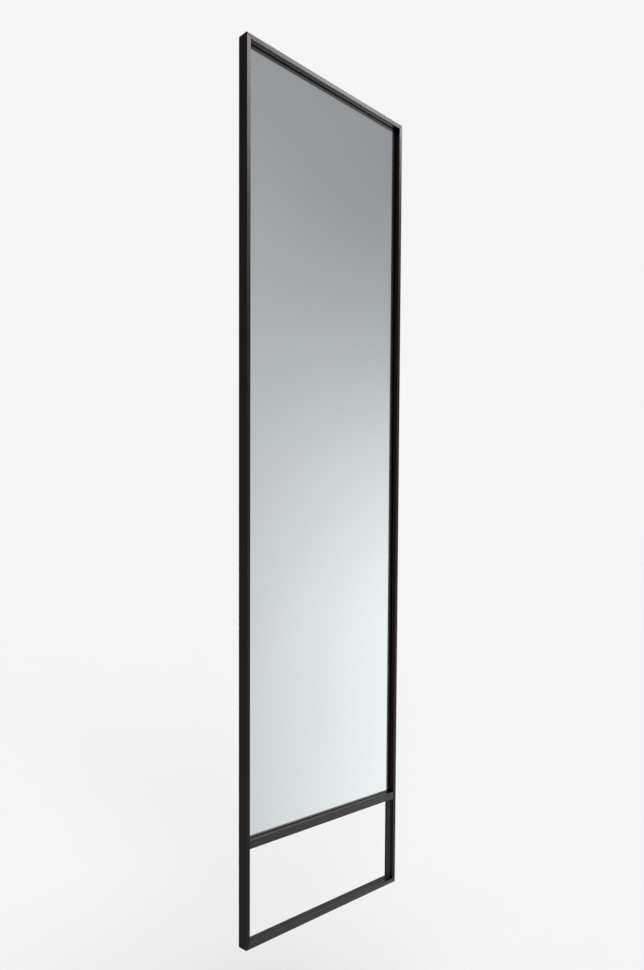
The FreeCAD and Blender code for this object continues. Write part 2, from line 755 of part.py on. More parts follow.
def raise_tab(member, start, length, half, face, height):
    """A tab pressed up from the face of the member's web, on its middle line."""
    root = D.sheet / 2
    plan = sketch(member, "XZ_Plane", face - root)
    rectangle(plan, start, -half, start + length, half)
    pad(member, plan, root + height)


def member_section(target, half):
    """A section given by depth from the wardrobe's side and height above the middle."""
    outline(target, mirrored([(-Size.of(corner[0]),) + tuple(corner[1:]) for corner in half]))


def make_outer_member(side, level):
    """The fixed member: web on the wardrobe's side, flanges with lips and races inside."""
    member = body(f"{side}_outer_member")
    section = sketch(member, "YZ_Plane")
    bend, ease = D.fold_radius, D.edge_round
    member_section(section, [
        (0, OUTER_TOP - bend, bend), (bend, OUTER_TOP), (OUTER_EDGE - ease, OUTER_TOP),
        (OUTER_EDGE, OUTER_TOP - ease), (OUTER_EDGE, OUTER_INNER - D.sheet),
        (OUTER_EDGE - D.sheet, OUTER_INNER - D.sheet), (OUTER_EDGE - D.sheet, OUTER_INNER),
        (D.ball_depth + RACE_HALF, OUTER_INNER, -RACE_RADIUS), (D.ball_depth - RACE_HALF, OUTER_INNER),
        (D.sheet + ease, OUTER_INNER), (D.sheet, OUTER_INNER - ease),
    ])
    pad(member, section, D.slide_length)
    holes = sketch(member, "XZ_Plane")
    for step in (0, D.fixing_pitch):
        circle(holes, D.fixing_start + step, 0, D.fixing_radius)
    slotted(holes, D.slide_length / 2, D.slot_half, D.fixing_radius)
    cut(member, holes)
    raise_tab(member, D.slide_length - D.sheet, D.sheet, D.tab_half, D.sheet,
              OUTER_EDGE - 2 * D.sheet)
    raise_tab(member, D.stop_start, D.stop_long, D.window_half_high, D.sheet, D.stop_high)
    return place(member, SLIDE_X, BACK, level)


def make_intermediate_member(side, level):
    """The middle member, with a race outside and inside each flange."""
    member = body(f"{side}_intermediate_member")
    section = sketch(member, "YZ_Plane")
    ease = D.edge_round
    member_section(section, [
        (MIDDLE_WEB, MIDDLE_TOP - ease), (MIDDLE_WEB + ease, MIDDLE_TOP),
        (D.ball_depth - RACE_HALF, MIDDLE_TOP, -RACE_RADIUS), (D.ball_depth + RACE_HALF, MIDDLE_TOP),
        (MIDDLE_EDGE - ease / 2, MIDDLE_TOP), (MIDDLE_EDGE, MIDDLE_TOP - ease / 2),
        (MIDDLE_EDGE, MIDDLE_INNER),
        (D.ball_depth + RACE_HALF, MIDDLE_INNER, -RACE_RADIUS), (D.ball_depth - RACE_HALF, MIDDLE_INNER),
        (MIDDLE_WEB + D.sheet, MIDDLE_INNER),
    ])
    pad(member, section, MEMBER_LENGTH)
    holes = sketch(member, "XZ_Plane")
    for step in (0, D.fixing_pitch):
        middle = D.fixing_start + step
        clipped(holes, middle - D.window_half_long, -D.window_half_high,
                middle + D.window_half_long, D.window_half_high, D.window_corner)
    cut(member, holes)
    raise_tab(member, D.stop_start, D.stop_long, D.window_half_high, MIDDLE_WEB + D.sheet, D.stop_high)
    return place(member, SLIDE_X, BACK, level)


def make_inner_member(side, level):
    """The moving member: web towards the mirror, races outside its flanges."""
    member = body(f"{side}_inner_member")
    section = sketch(member, "YZ_Plane")
    ease, web = D.edge_round, D.slide_thick - D.sheet
    member_section(section, [
        (web, INNER_INNER - ease / 2), (web - ease / 2, INNER_INNER), (INNER_EDGE, INNER_INNER),
        (INNER_EDGE, INNER_TOP), (D.ball_depth - RACE_HALF, INNER_TOP, -RACE_RADIUS),
        (D.ball_depth + RACE_HALF, INNER_TOP), (D.slide_thick - ease, INNER_TOP),
        (D.slide_thick, INNER_TOP - ease),
    ])
    pad(member, section, MEMBER_LENGTH)
    holes = sketch(member, "XZ_Plane")
    for x in SCREW_STEPS:
        circle(holes, POST_X + x - SLIDE_X, 0, SCREW_HOLE)
    cut(member, holes)
    return place(member, SLIDE_X, BACK, level)


def make_cage(label, level, web, balls):
    """A channel of thin sheet between two members, with an open pocket for each ball of both rows.

    The pockets have clipped ends, which hold a ball on three sides.
    """
    cage = body(label)
    section = sketch(cage, "YZ_Plane")
    half = D.cage_sheet / 2
    member_section(section, [(web, balls + half), (CAGE_EDGE, balls + half), (CAGE_EDGE, balls - half),
                             (web + D.cage_sheet, balls - half)])
    pad(cage, section, D.cage_length)
    pockets = sketch(cage, "XY_Plane")
    first = (D.cage_length - (BALLS_PER_ROW - 1) * D.cage_pitch) / 2
    r = D.ball_radius + D.key_clear
    clip, mouth = r * math.tan(math.pi / 8), -CAGE_EDGE - OVERRUN
    for number in range(BALLS_PER_ROW):
        middle = first + number * D.cage_pitch
        outline(pockets, [(middle - r, mouth), (middle + r, mouth), (middle + r, clip - D.ball_depth),
                          (middle + clip, r - D.ball_depth), (middle - clip, r - D.ball_depth),
                          (middle - r, clip - D.ball_depth)])
    cut(cage, pockets)
    return place(cage, SLIDE_X + D.cage_start, BACK, level)


def make_rear_buffers():
    """A rubber block against the stop tab of each outer member, for the moving members to meet."""
    buffers = []
    depth, height = OUTER_EDGE - 2 * D.sheet, 2 * (OUTER_INNER - D.sheet)
    for side, level in LEVELS.items():
        buffer = block(f"{side}_rear_buffer", D.buffer_thick, depth, height)
        buffers.append(place(buffer, SLIDE_X + D.slide_length - D.sheet - D.buffer_thick,
                             BACK - D.sheet - depth, level - height / 2))
    return group("rear_buffers", buffers)


# ---------------------------------------------------------------------------
# Assembly
# ---------------------------------------------------------------------------
NODES = [
    left_stile, right_stile, top_rail, bottom_rail, make_crossbar(), make_corner_keys(),
    make_crossbar_keys(), make_groove_fillers(), make_glass(), make_foam_tape(), make_backing_panel(),
    make_edge_gasket(), make_weld_studs(), make_bracket_nuts(), make_pivot_pins(),
    make_pin_washers(), make_pivot_bushes(), make_carrier_post(), make_post_end_caps(),
    make_carrier_screws(), make_rear_buffers(),
]
for side, level in LEVELS.items():
    NODES += [
        make_pivot_bracket(side, level),
        make_pivot_arm(side, level),
        make_outer_member(side, level),
        make_intermediate_member(side, level),
        make_inner_member(side, level),
        make_cage(f"{side}_outer_cage", level, OUTER_CAGE_WEB, OUTER_BALLS),
        make_cage(f"{side}_inner_cage", level, INNER_CAGE_WEB, INNER_BALLS),
    ]
document.recompute()

for item in document.Objects:
    faults = [state for state in item.State if state in ("Invalid", "Error")]
    if faults:
        raise RuntimeError(f"{item.Name}: {faults}")
for node in NODES:
    if node.Shape.isNull() or not node.Shape.isValid():
        raise RuntimeError(f"{node.Label} has no valid shape")

os.makedirs("parts", exist_ok=True)
for node in NODES:
    node.Shape.exportStep(f"parts/{node.Label}.step")
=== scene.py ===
"""The looks of a pull-out wardrobe mirror: finishes, eased edges, glazing, fasteners and steel balls.

Everything is in metres, in the frame of the model: +Z up, the glass faces -Y, the wardrobe's side
is at +Y and the mirror is pulled out towards -X. A size in millimetres is multiplied by MM.
"""

import json
import math

import bmesh
import bpy
from mathutils import Matrix, Vector


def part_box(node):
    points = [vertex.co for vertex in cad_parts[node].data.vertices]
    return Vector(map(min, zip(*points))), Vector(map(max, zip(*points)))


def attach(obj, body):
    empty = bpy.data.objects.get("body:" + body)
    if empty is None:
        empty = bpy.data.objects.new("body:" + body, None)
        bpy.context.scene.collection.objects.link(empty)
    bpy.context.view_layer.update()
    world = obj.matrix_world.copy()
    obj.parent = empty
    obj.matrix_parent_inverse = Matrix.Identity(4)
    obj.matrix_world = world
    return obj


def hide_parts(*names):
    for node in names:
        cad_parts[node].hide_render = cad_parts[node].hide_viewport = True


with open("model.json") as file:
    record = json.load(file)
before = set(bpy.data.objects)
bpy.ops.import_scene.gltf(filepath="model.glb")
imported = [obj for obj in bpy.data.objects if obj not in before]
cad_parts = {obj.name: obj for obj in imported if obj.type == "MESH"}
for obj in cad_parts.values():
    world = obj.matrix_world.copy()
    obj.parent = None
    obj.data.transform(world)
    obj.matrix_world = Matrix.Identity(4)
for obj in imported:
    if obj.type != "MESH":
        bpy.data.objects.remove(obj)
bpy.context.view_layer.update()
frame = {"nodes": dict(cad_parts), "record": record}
MM = 0.001
RECORD = frame["record"]
BODY_OF = {node: body for body, nodes in RECORD["behaviour"]["bodies"].items() for node in nodes}
LEVELS = ("lower", "upper")


# ---------------------------------------------------------------------------
# Nodes
# ---------------------------------------------------------------------------
def colour(code):
    """An sRGB hex code as linear red, green, blue and alpha."""
    channels = [int(code[at:at + 2], 16) / 255 for at in (1, 3, 5)]
    linear = [c / 12.92 if c <= 0.04045 else ((c + 0.055) / 1.055) ** 2.4 for c in channels]
    return (*linear, 1.0)


def add(tree, kind, inputs=None, stops=None, **settings):
    """Adds a node. Settings are its properties, each input is a value or the socket that feeds it, and
    stops are the places and hex codes of a colour ramp."""
    node = tree.nodes.new(kind)
    for name, value in settings.items():
        setattr(node, name, value)
    for name, value in (inputs or {}).items():
        if isinstance(value, bpy.types.NodeSocket):
            tree.links.new(value, node.inputs[name])
        else:
            node.inputs[name].default_value = value
    if stops:
        bar = node.color_ramp
        while len(bar.elements) < len(stops):
            bar.elements.new(0.5)
        for element, (place, code) in zip(bar.elements, stops):
            element.position = place
            element.color = colour(code)
    return node


# ---------------------------------------------------------------------------
# Finishes
# ---------------------------------------------------------------------------
def per_mm(size):
    """Scale of a pattern whose features are this many millimetres apart."""
    return 1 / (size * MM)


def start_finish(name):
    """An empty material, its tree, and the place on the piece in metres."""
    material = bpy.data.materials.new(name)
    material.use_nodes = True
    tree = material.node_tree
    tree.nodes.clear()
    return material, tree, add(tree, "ShaderNodeTexCoord").outputs["Object"]


def bronze_anodised(name, along, film):
    """Extruded aluminium, etched, dyed dark bronze and sealed. It reads as a satin, nearly black
    brown whose highlights are drawn out along the bar by faint die lines. The film is the weight of the
    clear gloss coat. It is set per bar direction: lower as painted shade on the uprights, higher as painted
    sheen on the level bars, for how light falls along them."""
    material, tree, place = start_finish(name)
    # Die lines are 0.1 to 0.3 mm apart on the real bar, and 0.8 mm here, so that they show.
    line_gap, line_length = 0.8, 160.0
    gaps = [per_mm(line_length if axis == along else line_gap) for axis in "XYZ"]
    drawn = add(tree, "ShaderNodeMapping", {"Vector": place, "Scale": gaps})
    lines = add(tree, "ShaderNodeTexNoise", {
        "Vector": drawn.outputs["Vector"], "Scale": 1.0, "Detail": 2.0})
    dye = add(tree, "ShaderNodeTexNoise", {"Vector": place, "Scale": per_mm(45.0), "Detail": 2.0})
    tone = add(tree, "ShaderNodeValToRGB", {"Fac": lines.outputs["Fac"]},
               [(0.2, "#211916"), (0.8, "#2A201D")])
    satin = add(tree, "ShaderNodeMapRange", {
        "Value": dye.outputs["Fac"], "From Min": 0.3, "From Max": 0.7, "To Min": 0.3, "To Max": 0.38})
    relief = add(tree, "ShaderNodeBump", {"Height": lines.outputs["Fac"], "Distance": 0.0015 * MM})
    shader = add(tree, "ShaderNodeBsdfPrincipled", {
        "Base Color": tone.outputs["Color"], "Metallic": 0.9, "Roughness": satin.outputs["Result"],
        "Coat Weight": film, "Coat Roughness": 0.28, "Normal": relief.outputs["Normal"]})
    add(tree, "ShaderNodeOutputMaterial", {"Surface": shader.outputs["BSDF"]})
    return material


def float_glass():
    """Clear float glass, fire polished on both faces: sharp reflections and a faint green cast."""
    material, tree, place = start_finish("clear_float_glass")
    draw = add(tree, "ShaderNodeTexNoise", {"Vector": place, "Scale": per_mm(160.0), "Detail": 0.0})
    tint = add(tree, "ShaderNodeValToRGB", {"Fac": draw.outputs["Fac"]},
               [(0.3, "#FCFDFC"), (0.7, "#FAFDFB")])
    shader = add(tree, "ShaderNodeBsdfPrincipled", {
        "Base Color": tint.outputs["Color"], "Roughness": 0.0, "IOR": 1.52, "Transmission Weight": 1.0})
    add(tree, "ShaderNodeOutputMaterial", {"Surface": shader.outputs["BSDF"]})
    return material


def deposited_silver():
    """Silver deposited on the back of the glass: a full, neutral mirror."""
    material, tree, place = start_finish("deposited_silver")
    flow = add(tree, "ShaderNodeTexNoise", {"Vector": place, "Scale": per_mm(200.0), "Detail": 0.0})
    tone = add(tree, "ShaderNodeValToRGB", {"Fac": flow.outputs["Fac"]},
               [(0.3, "#F7F8F8"), (0.7, "#F9F9F9")])
    shader = add(tree, "ShaderNodeBsdfPrincipled", {
        "Base Color": tone.outputs["Color"], "Metallic": 1.0, "Roughness": 0.0})
    add(tree, "ShaderNodeOutputMaterial", {"Surface": shader.outputs["BSDF"]})
    return material


def bronze_powder_coat():
    """Polyester powder baked on folded steel: an even satin brown with fine orange peel."""
    material, tree, place = start_finish("bronze_powder_coat")
    # The peel of real powder is 0.5 to 1 mm across. Its grains are under 0.1 mm, and 0.35 mm here, so
    # that they show.
    peel = add(tree, "ShaderNodeTexNoise", {"Vector": place, "Scale": per_mm(0.9), "Detail": 1.0})
    grains = add(tree, "ShaderNodeTexNoise", {"Vector": place, "Scale": per_mm(0.35), "Detail": 3.0})
    tone = add(tree, "ShaderNodeValToRGB", {"Fac": grains.outputs["Fac"]},
               [(0.3, "#3A322D"), (0.7, "#463D37")])
    relief = add(tree, "ShaderNodeBump", {"Height": peel.outputs["Fac"], "Distance": 0.02 * MM})
    shader = add(tree, "ShaderNodeBsdfPrincipled", {
        "Base Color": tone.outputs["Color"], "Roughness": 0.42, "Normal": relief.outputs["Normal"]})
    add(tree, "ShaderNodeOutputMaterial", {"Surface": shader.outputs["BSDF"]})
    return material


def clear_zinc_plate():
    """Turned steel, electroplated with zinc and clear passivated: bright, with a drift of blue and
    straw colour from the thin film."""
    material, tree, place = start_finish("clear_zinc_plate")
    film = add(tree, "ShaderNodeTexNoise", {"Vector": place, "Scale": per_mm(2.5), "Detail": 2.0})
    tone = add(tree, "ShaderNodeValToRGB", {"Fac": film.outputs["Fac"]},
               [(0.3, "#BFC6CE"), (0.5, "#D1D4D6"), (0.7, "#D5D2C8")])
    satin = add(tree, "ShaderNodeMapRange", {
        "Value": film.outputs["Fac"], "From Min": 0.3, "From Max": 0.7, "To Min": 0.22, "To Max": 0.34})
    relief = add(tree, "ShaderNodeBump", {"Height": film.outputs["Fac"], "Distance": 0.004 * MM})
    shader = add(tree, "ShaderNodeBsdfPrincipled", {
        "Base Color": tone.outputs["Color"], "Metallic": 1.0, "Roughness": satin.outputs["Result"],
        "Normal": relief.outputs["Normal"]})
    add(tree, "ShaderNodeOutputMaterial", {"Surface": shader.outputs["BSDF"]})
    return material


def rolled_zinc_strip():
    """Zinc-coated steel strip, cold rolled into a slide member: bright, with fine lines along the
    roll and duller patches where the rolls pressed less."""
    material, tree, place = start_finish("zinc_coated_rolled_strip")
    # Roll lines are under 0.1 mm apart on the real strip, and 0.25 mm here, so that they show.
    line_gap, line_length = 0.25, 60.0
    drawn = add(tree, "ShaderNodeMapping", {
        "Vector": place, "Scale": [per_mm(line_length), per_mm(line_gap), per_mm(line_gap)]})
    lines = add(tree, "ShaderNodeTexNoise", {
        "Vector": drawn.outputs["Vector"], "Scale": 1.0, "Detail": 3.0})
    press = add(tree, "ShaderNodeTexNoise", {"Vector": place, "Scale": per_mm(12.0), "Detail": 2.0})
    tone = add(tree, "ShaderNodeValToRGB", {"Fac": lines.outputs["Fac"]},
               [(0.25, "#B4B8BD"), (0.75, "#CDD0D3")])
    satin = add(tree, "ShaderNodeMapRange", {
        "Value": press.outputs["Fac"], "From Min": 0.3, "From Max": 0.7, "To Min": 0.24, "To Max": 0.4})
    relief = add(tree, "ShaderNodeBump", {"Height": lines.outputs["Fac"], "Distance": 0.004 * MM})
    shader = add(tree, "ShaderNodeBsdfPrincipled", {
        "Base Color": tone.outputs["Color"], "Metallic": 1.0, "Roughness": satin.outputs["Result"],
        "Normal": relief.outputs["Normal"]})
    add(tree, "ShaderNodeOutputMaterial", {"Surface": shader.outputs["BSDF"]})
    return material


def stamped_cage_strip():
    """Bare steel strip, stamped and oiled: greyer than the members that it runs in."""
    material, tree, place = start_finish("stamped_cage_strip")
    oil = add(tree, "ShaderNodeTexNoise", {"Vector": place, "Scale": per_mm(3.0), "Detail": 3.0})
    tone = add(tree, "ShaderNodeValToRGB", {"Fac": oil.outputs["Fac"]},
               [(0.3, "#84878B"), (0.7, "#9DA0A3")])
    satin = add(tree, "ShaderNodeMapRange", {
        "Value": oil.outputs["Fac"], "From Min": 0.3, "From Max": 0.7, "To Min": 0.28, "To Max": 0.42})
    shader = add(tree, "ShaderNodeBsdfPrincipled", {
        "Base Color": tone.outputs["Color"], "Metallic": 1.0, "Roughness": satin.outputs["Result"]})
    add(tree, "ShaderNodeOutputMaterial", {"Surface": shader.outputs["BSDF"]})
    return material


def ball_steel():
    """Hardened chrome steel, lapped: a near mirror with a thin smear of grease."""
    material, tree, place = start_finish("lapped_ball_steel")
    grease = add(tree, "ShaderNodeTexNoise", {"Vector": place, "Scale": per_mm(1.5), "Detail": 2.0})
    tone = add(tree, "ShaderNodeValToRGB", {"Fac": grease.outputs["Fac"]},
               [(0.3, "#C6C7C8"), (0.7, "#D8D8D7")])
    satin = add(tree, "ShaderNodeMapRange", {
        "Value": grease.outputs["Fac"], "From Min": 0.3, "From Max": 0.7, "To Min": 0.06, "To Max": 0.16})
    shader = add(tree, "ShaderNodeBsdfPrincipled", {
        "Base Color": tone.outputs["Color"], "Metallic": 1.0, "Roughness": satin.outputs["Result"]})
    add(tree, "ShaderNodeOutputMaterial", {"Surface": shader.outputs["BSDF"]})
    return material


def grey_primed_sheet():
    """Sheet steel with a rolled grey primer: matte, with a fine roller stipple and slow, faint
    changes of tone."""
    material, tree, place = start_finish("grey_primed_sheet")
    stipple = add(tree, "ShaderNodeTexNoise", {"Vector": place, "Scale": per_mm(1.6), "Detail": 2.0})
    pass_width, pass_length = 70.0, 400.0
    passes = add(tree, "ShaderNodeMapping", {
        "Vector": place, "Scale": [per_mm(pass_width), per_mm(pass_width), per_mm(pass_length)]})
    tones = add(tree, "ShaderNodeTexNoise", {
        "Vector": passes.outputs["Vector"], "Scale": 1.0, "Detail": 2.0})
    tone = add(tree, "ShaderNodeValToRGB", {"Fac": tones.outputs["Fac"]},
               [(0.3, "#9C9FA0"), (0.7, "#A3A6A7")])
    relief = add(tree, "ShaderNodeBump", {"Height": stipple.outputs["Fac"], "Distance": 0.02 * MM})
    shader = add(tree, "ShaderNodeBsdfPrincipled", {
        "Base Color": tone.outputs["Color"], "Roughness": 0.55, "Normal": relief.outputs["Normal"]})
    add(tree, "ShaderNodeOutputMaterial", {"Surface": shader.outputs["BSDF"]})
    return material


def black_oxide_steel():
    """Spring steel, blackened in hot oxide and oiled: dark satin with a brown drift."""
    material, tree, place = start_finish("black_oxide_spring_steel")
    oxide = add(tree, "ShaderNodeTexNoise", {"Vector": place, "Scale": per_mm(2.0), "Detail": 2.0})
    tone = add(tree, "ShaderNodeValToRGB", {"Fac": oxide.outputs["Fac"]},
               [(0.3, "#2B2B2D"), (0.7, "#3D3A38")])
    shader = add(tree, "ShaderNodeBsdfPrincipled", {
        "Base Color": tone.outputs["Color"], "Metallic": 1.0, "Roughness": 0.4})
    add(tree, "ShaderNodeOutputMaterial", {"Surface": shader.outputs["BSDF"]})
    return material


def moulded_rubber():
    """Black rubber, moulded and extruded: matte, with a bloom that greys it slightly in patches."""
    material, tree, place = start_finish("black_rubber_moulding")
    bloom = add(tree, "ShaderNodeTexNoise", {"Vector": place, "Scale": per_mm(4.0), "Detail": 3.0})
    # The grain of the mould is 0.1 to 0.2 mm on real rubber, and 0.5 mm here, so that it shows.
    grain = add(tree, "ShaderNodeTexNoise", {"Vector": place, "Scale": per_mm(0.5), "Detail": 2.0})
    tone = add(tree, "ShaderNodeValToRGB", {"Fac": bloom.outputs["Fac"]},
               [(0.3, "#1A1A1B"), (0.7, "#262627")])
    relief = add(tree, "ShaderNodeBump", {"Height": grain.outputs["Fac"], "Distance": 0.02 * MM})
    shader = add(tree, "ShaderNodeBsdfPrincipled", {
        "Base Color": tone.outputs["Color"], "Roughness": 0.75, "Normal": relief.outputs["Normal"]})
    add(tree, "ShaderNodeOutputMaterial", {"Surface": shader.outputs["BSDF"]})
    return material


def white_foam_tape():
    """Closed-cell polyethylene foam tape, slit from a roll: chalky white, with cut cells."""
    material, tree, place = start_finish("white_foam_tape")
    cells = add(tree, "ShaderNodeTexVoronoi", {"Vector": place, "Scale": per_mm(0.4)})
    tone = add(tree, "ShaderNodeValToRGB", {"Fac": cells.outputs["Distance"]},
               [(0.0, "#D6D6D0"), (0.6, "#EAEAE6")])
    relief = add(tree, "ShaderNodeBump", {"Height": cells.outputs["Distance"], "Distance": 0.08 * MM})
    shader = add(tree, "ShaderNodeBsdfPrincipled", {
        "Base Color": tone.outputs["Color"], "Roughness": 0.9, "Normal": relief.outputs["Normal"]})
    add(tree, "ShaderNodeOutputMaterial", {"Surface": shader.outputs["BSDF"]})
    return material


def turned_nylon():
    """Natural nylon, turned: off-white and slightly translucent, with turning rings up its height."""
    material, tree, place = start_finish("turned_natural_nylon")
    # Turning marks are about 0.1 mm apart on the real bush, and 0.4 mm here, so that they show.
    ring_gap = 0.4
    rings = add(tree, "ShaderNodeTexWave", {
        "Vector": place, "Scale": per_mm(ring_gap) / math.tau, "Distortion": 0.5},
        wave_type="BANDS", bands_direction="Z")
    tone = add(tree, "ShaderNodeValToRGB", {"Fac": rings.outputs["Fac"]},
               [(0.0, "#D6D3C8"), (1.0, "#E2DFD5")])
    relief = add(tree, "ShaderNodeBump", {"Height": rings.outputs["Fac"], "Distance": 0.01 * MM})
    shader = add(tree, "ShaderNodeBsdfPrincipled", {
        "Base Color": tone.outputs["Color"], "Roughness": 0.4, "Subsurface Weight": 0.1,
        "Subsurface Scale": 1.0 * MM, "Normal": relief.outputs["Normal"]})
    add(tree, "ShaderNodeOutputMaterial", {"Surface": shader.outputs["BSDF"]})
    return material


def moulded_plastic():
    """Dark brown polypropylene from a spark-eroded mould: soft sheen on a fine even grain."""
    material, tree, place = start_finish("dark_moulded_polypropylene")
    # The grain of such a mould is about 0.1 mm on the real part, and 0.4 mm here, so that it shows.
    grain = add(tree, "ShaderNodeTexNoise", {"Vector": place, "Scale": per_mm(0.4), "Detail": 3.0})
    tone = add(tree, "ShaderNodeValToRGB", {"Fac": grain.outputs["Fac"]},
               [(0.3, "#2B2623"), (0.7, "#36302C")])
    relief = add(tree, "ShaderNodeBump", {"Height": grain.outputs["Fac"], "Distance": 0.01 * MM})
    shader = add(tree, "ShaderNodeBsdfPrincipled", {
        "Base Color": tone.outputs["Color"], "Roughness": 0.5, "Normal": relief.outputs["Normal"]})
    add(tree, "ShaderNodeOutputMaterial", {"Surface": shader.outputs["BSDF"]})
    return material


def tumbled_zinc_casting():
    """Die-cast zinc, tumbled: dull grey with a fine pitted skin."""
    material, tree, place = start_finish("tumbled_zinc_casting")
    pits = add(tree, "ShaderNodeTexNoise", {"Vector": place, "Scale": per_mm(0.6), "Detail": 3.0})
    tone = add(tree, "ShaderNodeValToRGB", {"Fac": pits.outputs["Fac"]},
               [(0.3, "#84878A"), (0.7, "#A0A2A4")])
    relief = add(tree, "ShaderNodeBump", {"Height": pits.outputs["Fac"], "Distance": 0.03 * MM})
    shader = add(tree, "ShaderNodeBsdfPrincipled", {
        "Base Color": tone.outputs["Color"], "Metallic": 1.0, "Roughness": 0.5,
        "Normal": relief.outputs["Normal"]})
    add(tree, "ShaderNodeOutputMaterial", {"Surface": shader.outputs["BSDF"]})
    return material


# Two copies of one finish: less gloss film on the uprights is painted shade, and more on the level bars is
# painted sheen.
PAINTED_SHADE_UPRIGHT_BRONZE = bronze_anodised("bronze_anodised_upright_painted_shade", along="Z", film=0.18)
PAINTED_SHEEN_LEVEL_BRONZE = bronze_anodised("bronze_anodised_level_painted_sheen", along="X", film=0.75)
POWDER = bronze_powder_coat()
ZINC = clear_zinc_plate()
STRIP = rolled_zinc_strip()
CAGE_STRIP = stamped_cage_strip()
BALL_STEEL = ball_steel()
BLACK_STEEL = black_oxide_steel()
RUBBER = moulded_rubber()
NYLON = turned_nylon()
PLASTIC = moulded_plastic()
CASTING = tumbled_zinc_casting()
FOAM = white_foam_tape()
PRIMER = grey_primed_sheet()

FINISH_OF = {
    "left_stile": PAINTED_SHADE_UPRIGHT_BRONZE, "right_stile": PAINTED_SHADE_UPRIGHT_BRONZE, "carrier_post": PAINTED_SHADE_UPRIGHT_BRONZE,
    "top_rail": PAINTED_SHEEN_LEVEL_BRONZE, "bottom_rail": PAINTED_SHEEN_LEVEL_BRONZE, "crossbar": PAINTED_SHEEN_LEVEL_BRONZE,
    "corner_keys": CASTING, "crossbar_keys": CASTING, "groove_fillers": PLASTIC,
    "post_end_caps": PLASTIC, "foam_tape": FOAM, "backing_panel": PRIMER, "edge_gasket": RUBBER,
    "rear_buffers": RUBBER, "weld_studs": ZINC, "bracket_nuts": ZINC, "pivot_pins": ZINC,
    "carrier_screws": ZINC, "pin_washers": BLACK_STEEL, "pivot_bushes": NYLON,
}
for level in LEVELS:
    for part, finish in (("pivot_bracket", POWDER), ("pivot_arm", POWDER), ("outer_member", STRIP),
                         ("intermediate_member", STRIP), ("inner_member", STRIP),
                         ("outer_cage", CAGE_STRIP), ("inner_cage", CAGE_STRIP)):
        FINISH_OF[f"{level}_{part}"] = finish

for node, finish in FINISH_OF.items():
    for slot in frame["nodes"][node].material_slots:
        slot.material = finish


# ---------------------------------------------------------------------------
# Pieces with eased edges
# ---------------------------------------------------------------------------
WELD = 0.0005 * MM
FLAT = math.radians(0.5)
SHARP = math.radians(35)


def merged_copy(node):
    """The node's mesh with its loose triangles joined into whole faces."""
    builder = bmesh.new()
    builder.from_mesh(frame["nodes"][node].data)
    bmesh.ops.remove_doubles(builder, verts=builder.verts, dist=WELD)
    bmesh.ops.dissolve_limit(builder, angle_limit=FLAT, verts=builder.verts, edges=builder.edges)
    return builder


def new_piece(name, mesh, material, like, replaces=True):
    """A piece in the body of the node that it is like and in that node's place, with the given material."""
    piece = bpy.data.objects.new(name, mesh)
    bpy.context.collection.objects.link(piece)
    mesh.materials.clear()
    mesh.materials.append(material)
    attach(piece, BODY_OF[like])
    if replaces:
        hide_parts(like)
    return piece


def built_mesh(name, builder):
    """The builder's mesh, smooth except at its sharp edges."""
    mesh = bpy.data.meshes.new(name)
    builder.to_mesh(mesh)
    builder.free()
    mesh.polygons.foreach_set("use_smooth", [True] * len(mesh.polygons))
    mesh.set_sharp_from_angle(angle=SHARP)
    return mesh


def eased(node, radius):
    """The node's piece with the sharp edges rounded, as deburring, rolling or moulding leaves them."""
    name = f"{node}_eased"
    piece = new_piece(name, built_mesh(name, merged_copy(node)), FINISH_OF[node], node)
    bevel = piece.modifiers.new("eased edges", "BEVEL")
    bevel.width = radius * MM
    bevel.segments = 2
    bevel.limit_method = "ANGLE"
    bevel.angle_limit = SHARP
    # The flat faces keep their own normals, so that only the rounds shade from one to the next.
    flats = piece.modifiers.new("flat faces", "WEIGHTED_NORMAL")
    flats.weight = 100
    flats.keep_sharp = True
    return piece


# Radius of the edges in millimetres.
EDGE_RADIUS = {
    "left_stile": 0.15, "right_stile": 0.15, "top_rail": 0.15, "bottom_rail": 0.15, "crossbar": 0.15,
    "groove_fillers": 0.4, "carrier_post": 0.15, "post_end_caps": 0.6, "backing_panel": 0.3,
    "edge_gasket": 0.3, "rear_buffers": 0.8, "pivot_bushes": 0.3, "pivot_pins": 0.4,
}
for level in LEVELS:
    for part, radius in (("pivot_bracket", 0.3), ("pivot_arm", 0.3), ("outer_member", 0.15),
                         ("intermediate_member", 0.15), ("inner_member", 0.15),
                         ("outer_cage", 0.12), ("inner_cage", 0.12)):
        EDGE_RADIUS[f"{level}_{part}"] = radius

eased_pieces = {node: eased(node, radius) for node, radius in EDGE_RADIUS.items()}


# ---------------------------------------------------------------------------
# Glass and silver
# ---------------------------------------------------------------------------
def slab(low, high, arris):
    """A sheet between two corners, with its edges ground by the arris."""
    builder = bmesh.new()
    bmesh.ops.create_cube(builder, size=1.0)
    middle, size = (low + high) / 2, high - low
    for vertex in builder.verts:
        vertex.co = Vector([middle[axis] + vertex.co[axis] * size[axis] for axis in range(3)])
    if arris:
        bmesh.ops.bevel(builder, geom=builder.edges[:], offset=arris, segments=1, affect="EDGES")
    return builder


def make_glazing():
    """Float glass with ground edges, and the silver that is bonded into its back."""
    low, high = (Vector(corner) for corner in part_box("mirror_glass"))
    coat, bond, arris = 0.06 * MM, 0.02 * MM, 0.5 * MM
    glass_back = Vector((high.x, high.y - coat, high.z))
    silver_front = Vector((low.x, glass_back.y - bond, low.z))
    new_piece("float_glass", built_mesh("float_glass", slab(low, glass_back, arris)), float_glass(),
              "mirror_glass")
    new_piece("silver_coat", built_mesh("silver_coat", slab(silver_front, high, 0.0)),
              deposited_silver(), "mirror_glass", replaces=False)


make_glazing()


